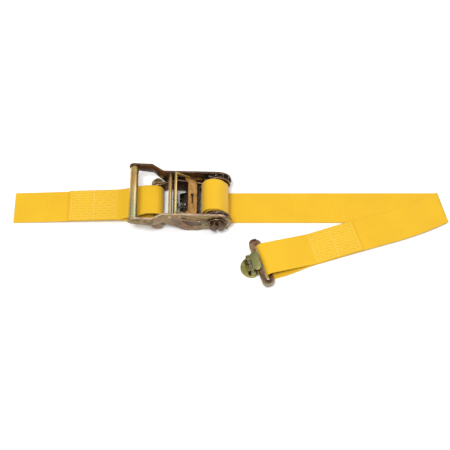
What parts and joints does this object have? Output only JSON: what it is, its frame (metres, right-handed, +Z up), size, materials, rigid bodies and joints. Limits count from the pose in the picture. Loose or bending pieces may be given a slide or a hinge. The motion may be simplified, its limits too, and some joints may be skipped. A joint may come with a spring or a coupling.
{
  "type": "ratchet tie down",
  "caption": "Hand ratchet for cargo webbing, closed, with a short anchor strap, a wound load strap folded back on itself, and a spring fitting for a slotted cargo track.",
  "frame": {"origin": "middle of the base of the box round the whole assembly as it lies", "axes": "+X along the straps from the short strap's cut end to the fold, +Y along the spindle away from the returning run, +Z up from the surface it lies on"},
  "size_m": [0.634, 0.179, 0.051],
  "materials": {
    "zinc_plated_steel": "satin yellow zinc",
    "copper_tinted_steel": "satin",
    "bright_bar_steel": "satin yellow zinc",
    "dark_gear_steel": "satin",
    "spring_steel": "bright",
    "yellow_webbing": "woven polyester"
  },
  "bodies": {
    "frame": {"frame_plate_near": "zinc_plated_steel", "frame_plate_far": "zinc_plated_steel", "frame_cross_plate": "zinc_plated_steel", "anchor_bolt": "zinc_plated_steel", "anchor_nut": "zinc_plated_steel", "anchor_sleeve": "zinc_plated_steel", "lock_pawl_spring": "spring_steel"},
    "spindle": {"spindle_half_left": "zinc_plated_steel", "spindle_half_right": "zinc_plated_steel", "ratchet_gear_near": "dark_gear_steel", "ratchet_gear_far": "dark_gear_steel", "spindle_washer_near": "zinc_plated_steel", "spindle_washer_far": "zinc_plated_steel", "split_pin": "spring_steel", "retaining_ring": "spring_steel", "webbing_roll": "yellow_webbing"},
    "handle": {"handle_plate_near": "zinc_plated_steel", "handle_plate_far": "zinc_plated_steel", "grip_tube": "bright_bar_steel", "grip_rod": "zinc_plated_steel", "handle_spacer_rod": "bright_bar_steel", "drive_pawl_springs": "spring_steel"},
    "drive_pawl_slider": {"drive_pawl": "copper_tinted_steel", "pawl_pull_bar": "bright_bar_steel"},
    "lock_pawl_slider": {"lock_pawl": "dark_gear_steel"},
    "anchor_strap": {"short_strap": "yellow_webbing"},
    "load_strap": {"main_strap": "yellow_webbing"},
    "track_fitting": {"fitting_body": "zinc_plated_steel", "fitting_pin": "zinc_plated_steel"},
    "track_latch": {"fitting_latch": "zinc_plated_steel", "fitting_spring": "spring_steel"}
  },
  "joints": [
    {"name": "spindle_spin", "type": "hinge", "parent": "frame", "child": "spindle", "pos_m": [-0.01997, 0.04204, 0.022], "axis": [0, 1, 0], "continuous": true},
    {"name": "handle_swing", "type": "hinge", "parent": "frame", "child": "handle", "pos_m": [-0.01997, 0.04204, 0.022], "axis": [0, 1, 0], "range_deg": [0, 170]},
    {"name": "drive_pawl_slide", "type": "slide", "parent": "handle", "child": "drive_pawl_slider", "axis": [-0.9613, 0, 0.2756], "range_m": [-0.0047, 0.006], "stiffness_N_per_m": 800, "deforming": ["drive_pawl_springs"]},
    {"name": "lock_pawl_slide", "type": "slide", "parent": "frame", "child": "lock_pawl_slider", "axis": [-0.9703, 0, -0.2419], "range_m": [0, 0.005], "stiffness_N_per_m": 800, "springref_m": -0.002, "deforming": ["lock_pawl_spring"]},
    {"name": "short_strap_swing", "type": "hinge", "parent": "frame", "child": "anchor_strap", "pos_m": [-0.10698, 0.04204, 0.012], "axis": [0, 1, 0], "range_deg": [-40, 12]},
    {"name": "load_strap_swing", "type": "hinge", "parent": "frame", "child": "load_strap", "pos_m": [-0.01997, 0.04204, 0.022], "axis": [0, 1, 0], "range_deg": [-60, 10]},
    {"name": "track_fitting_swing", "type": "hinge", "parent": "load_strap", "child": "track_fitting", "pos_m": [0.04911, -0.05047, 0.0077], "axis": [0.299, -0.9542, 0], "range_deg": [-45, 35]},
    {"name": "track_latch_press", "type": "hinge", "parent": "track_fitting", "child": "track_latch", "pos_m": [0.02805, -0.05707, 0.01192], "axis": [-0.299, 0.9542, 0], "range_deg": [0, 12], "stiffness_Nm_per_rad": 0.08, "springref_deg": -17.19}
  ]
}
